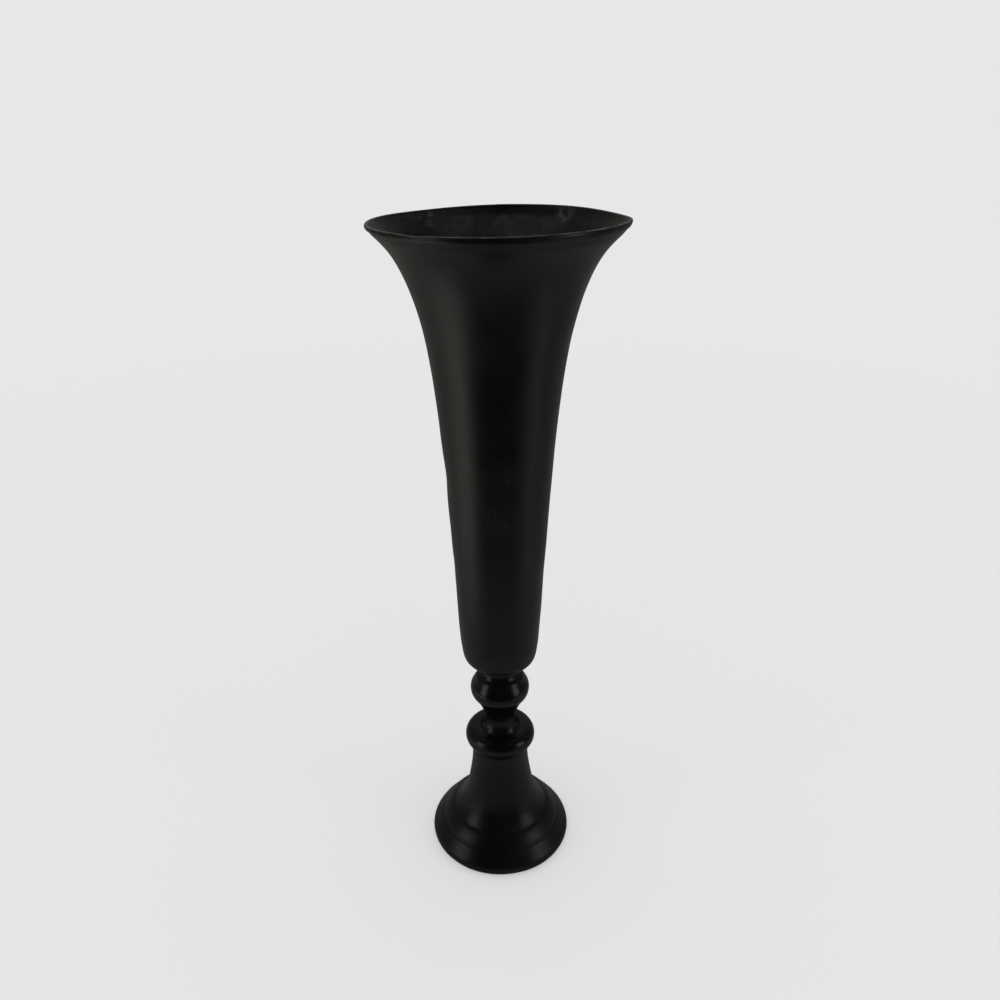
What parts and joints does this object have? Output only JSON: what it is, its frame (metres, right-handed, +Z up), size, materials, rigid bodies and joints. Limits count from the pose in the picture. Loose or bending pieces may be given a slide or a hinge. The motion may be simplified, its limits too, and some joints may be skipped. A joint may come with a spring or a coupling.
{
  "type": "trumpet vase",
  "caption": "Tall black metal trumpet vase: a slim flared shell on a turned stem of knops over a hollow bell foot, clamped together by a tie rod.",
  "frame": {"origin": "centre of the plane that the foot stands on", "axes": "+Z up along the vase's axis, towards the mouth; +X and +Y are free, because the vase is round"},
  "size_m": [0.2, 0.2, 0.61],
  "materials": {
    "satin_black_paint": "satin",
    "gloss_black_paint": "gloss",
    "zinc_steel": "satin",
    "seal_rubber": "matte"
  },
  "bodies": {
    "root": {"trumpet_body": "satin_black_paint", "upper_knop": "gloss_black_paint", "neck_spool": "gloss_black_paint", "lower_knop": "gloss_black_paint", "foot": "satin_black_paint", "tie_rod": "zinc_steel", "cap_nut": "zinc_steel", "bowl_washer": "zinc_steel", "seal_washer": "seal_rubber", "clamp_washer": "zinc_steel", "lock_washer": "zinc_steel", "hex_nut": "zinc_steel"}
  },
  "joints": []
}
